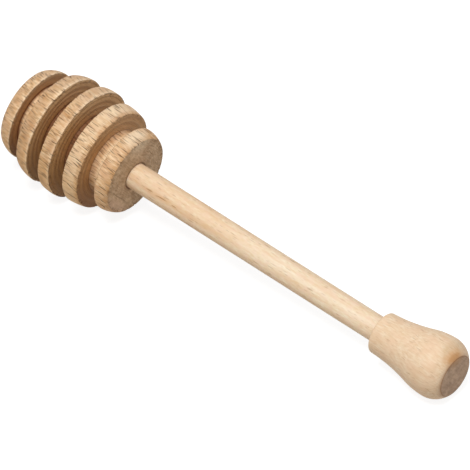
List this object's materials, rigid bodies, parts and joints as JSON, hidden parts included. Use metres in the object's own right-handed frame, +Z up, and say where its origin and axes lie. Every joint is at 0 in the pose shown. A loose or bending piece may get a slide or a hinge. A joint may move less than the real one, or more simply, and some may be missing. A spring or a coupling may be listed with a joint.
{
  "type": "honey dipper",
  "caption": "Turned wooden honey dipper: a barrel-shaped grooved head and a bulbed grip on a round dowel stem.",
  "frame": {"origin": "on the surface that the dipper lies on, under the middle of its length and in the upright plane through the stem's axis", "axes": "+X from the head to the grip along the dipper's length, +Z up; the stem's axis lies in the XZ plane and leans down towards +X by 3.24 degrees, because the head is thicker than the grip and both touch z = 0; the grip leans 1.9 degrees off the stem's line towards +Y"},
  "size_m": [0.164, 0.0348, 0.0348],
  "materials": {
    "head_beech": "turned and sanded, unfinished beech, tan with short dark rays",
    "stem_beech": "machined dowel, unfinished pale beech",
    "grip_beech": "turned and sanded, unfinished pale beech"
  },
  "bodies": {
    "root": {"head": "head_beech", "stem": "stem_beech", "grip": "grip_beech"}
  },
  "joints": []
}
